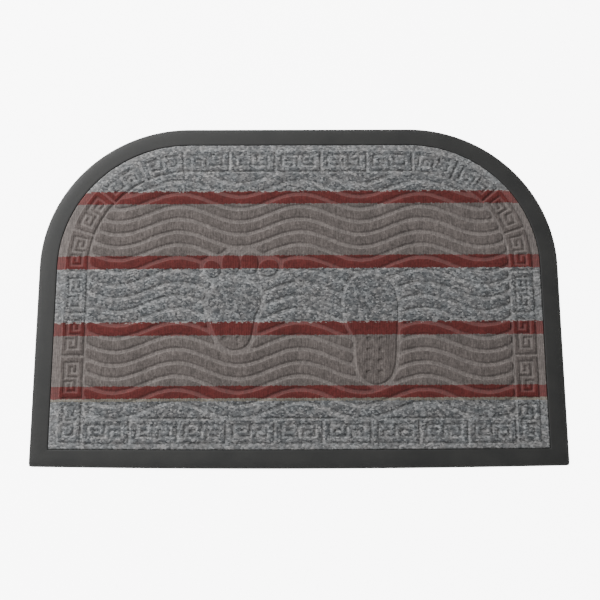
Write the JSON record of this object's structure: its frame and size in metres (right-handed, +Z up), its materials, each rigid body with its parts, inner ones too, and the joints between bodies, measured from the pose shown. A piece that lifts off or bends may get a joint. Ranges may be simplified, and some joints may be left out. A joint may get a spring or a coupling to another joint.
{
  "type": "doormat",
  "caption": "D-shaped doormat: a ribbed plastic-yarn carpet with pressed waves, square spirals and two footprints, set in a bordered rubber base.",
  "frame": {"origin": "the middle of the mat's footprint, on its underside", "axes": "+X along the long straight front edge, to the right; +Y towards the back edge, which has the rounded corners; +Z up, out of the carpet"},
  "size_m": [0.6, 0.403, 0.0054],
  "materials": {
    "rubber": "matte, finely grained",
    "yarn": "matte ribbed plastic yarn, striped in grey, brick red and taupe"
  },
  "bodies": {
    "root": {"rubber_base": "rubber", "carpet": "yarn"}
  },
  "joints": []
}
